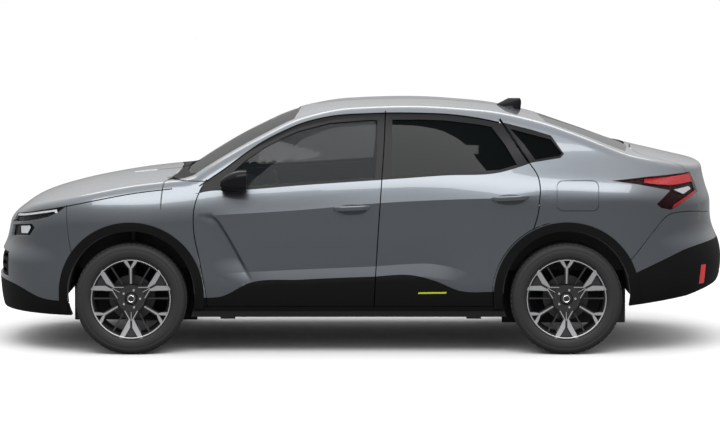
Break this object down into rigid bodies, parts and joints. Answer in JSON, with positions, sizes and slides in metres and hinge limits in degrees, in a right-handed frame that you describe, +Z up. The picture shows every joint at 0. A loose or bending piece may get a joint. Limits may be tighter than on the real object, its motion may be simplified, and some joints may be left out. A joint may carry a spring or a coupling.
{
  "type": "fastback crossover car",
  "caption": "Four-door fastback crossover car with opening doors, hood, boot lid and fuel flap, steered front wheels and free-turning wheels.",
  "frame": {"origin": "on the ground under the middle of the car", "axes": "+X to the rear, +Y to the right-hand side of the car, +Z up"},
  "size_m": [4.5985, 2.0696, 1.538],
  "materials": {
    "paint": "metallic blue-grey clearcoat",
    "black_plastic": "grained black",
    "glass": "tinted",
    "tyre_rubber": "matt rubber",
    "alloy": "black with machined faces",
    "steel": "dark primer",
    "lamp_clear": "clear lamp lens",
    "lamp_red": "red lamp lens",
    "seat_fabric": "woven",
    "dark_trim": "soft grained"
  },
  "bodies": {
    "body": {"floor_pan": "steel", "body_side_left": "paint", "body_side_right": "paint", "roof_panel": "paint", "fenders": "paint", "front_bumper": "paint", "skirts": "black_plastic", "rear_bumper": "paint", "grille": "black_plastic", "headlamps": "lamp_clear", "tail_lamps": "lamp_red", "cowl": "black_plastic", "fixed_glass": "glass", "arch_trims": "black_plastic", "arch_liners": "dark_trim", "front_frame": "steel", "power_unit": "steel", "rear_axle": "steel", "dashboard": "dark_trim", "front_seats": "seat_fabric", "rear_bench": "seat_fabric"},
    "hood": {"hood": "paint"},
    "boot_lid": {"boot_lid": "paint"},
    "fuel_flap": {"fuel_flap": "paint"},
    "steering_wheel": {"steering_wheel": "dark_trim"},
    "front_door_left": {"front_door_left": "paint", "front_glass_left": "glass", "mirror_left": "black_plastic"},
    "rear_door_left": {"rear_door_left": "paint", "rear_glass_left": "glass"},
    "knuckle_left": {"knuckle_left": "steel"},
    "wheel_front_left": {"rim_front_left": "alloy", "tyre_front_left": "tyre_rubber"},
    "wheel_rear_left": {"rim_rear_left": "alloy", "tyre_rear_left": "tyre_rubber"},
    "front_door_right": {"front_door_right": "paint", "front_glass_right": "glass", "mirror_right": "black_plastic"},
    "rear_door_right": {"rear_door_right": "paint", "rear_glass_right": "glass"},
    "knuckle_right": {"knuckle_right": "steel"},
    "wheel_front_right": {"rim_front_right": "alloy", "tyre_front_right": "tyre_rubber"},
    "wheel_rear_right": {"rim_rear_right": "alloy", "tyre_rear_right": "tyre_rubber"}
  },
  "joints": [
    {"name": "front_door_left_hinge", "type": "hinge", "parent": "body", "child": "front_door_left", "pos_m": [-0.95, -0.87, 0.7], "axis": [0, 0, -1], "range_deg": [0, 68]},
    {"name": "rear_door_left_hinge", "type": "hinge", "parent": "body", "child": "rear_door_left", "pos_m": [0.14, -0.87, 0.7], "axis": [0, 0, -1], "range_deg": [0, 70]},
    {"name": "steer_left", "type": "hinge", "parent": "body", "child": "knuckle_left", "pos_m": [-1.407, -0.72, 0.25], "axis": [0, 0, 1], "range_deg": [-35, 35]},
    {"name": "wheel_front_left_spin", "type": "hinge", "parent": "knuckle_left", "child": "wheel_front_left", "pos_m": [-1.407, -0.775, 0.343], "axis": [0, 1, 0], "continuous": true},
    {"name": "wheel_rear_left_spin", "type": "hinge", "parent": "body", "child": "wheel_rear_left", "pos_m": [1.263, -0.775, 0.343], "axis": [0, 1, 0], "continuous": true},
    {"name": "front_door_right_hinge", "type": "hinge", "parent": "body", "child": "front_door_right", "pos_m": [-0.95, 0.87, 0.7], "axis": [0, 0, 1], "range_deg": [0, 68]},
    {"name": "rear_door_right_hinge", "type": "hinge", "parent": "body", "child": "rear_door_right", "pos_m": [0.14, 0.87, 0.7], "axis": [0, 0, 1], "range_deg": [0, 70]},
    {"name": "steer_right", "type": "hinge", "parent": "body", "child": "knuckle_right", "pos_m": [-1.407, 0.72, 0.25], "axis": [0, 0, 1], "range_deg": [-35, 35]},
    {"name": "wheel_front_right_spin", "type": "hinge", "parent": "knuckle_right", "child": "wheel_front_right", "pos_m": [-1.407, 0.775, 0.343], "axis": [0, 1, 0], "continuous": true},
    {"name": "wheel_rear_right_spin", "type": "hinge", "parent": "body", "child": "wheel_rear_right", "pos_m": [1.263, 0.775, 0.343], "axis": [0, 1, 0], "continuous": true},
    {"name": "hood_hinge", "type": "hinge", "parent": "body", "child": "hood", "pos_m": [-1.146, 0, 1.076], "axis": [0, 1, 0], "range_deg": [0, 55]},
    {"name": "boot_lid_hinge", "type": "hinge", "parent": "body", "child": "boot_lid", "pos_m": [1.741, 0, 1.223], "axis": [0, -1, 0], "range_deg": [0, 75]},
    {"name": "fuel_flap_hinge", "type": "hinge", "parent": "body", "child": "fuel_flap", "pos_m": [1.2, -0.9086, 0.892], "axis": [0, -0.2347, -0.9721], "range_deg": [0, 100]},
    {"name": "steering_wheel_turn", "type": "hinge", "parent": "body", "child": "steering_wheel", "pos_m": [-0.47, -0.37, 0.93], "axis": [0.9135, 0, 0.4067], "range_deg": [-540, 540]}
  ],
  "couplings": [
    {"joint": "steer_right", "follows": "steer_left", "ratio": 1},
    {"joint": "steering_wheel_turn", "follows": "steer_left", "ratio": 15}
  ]
}
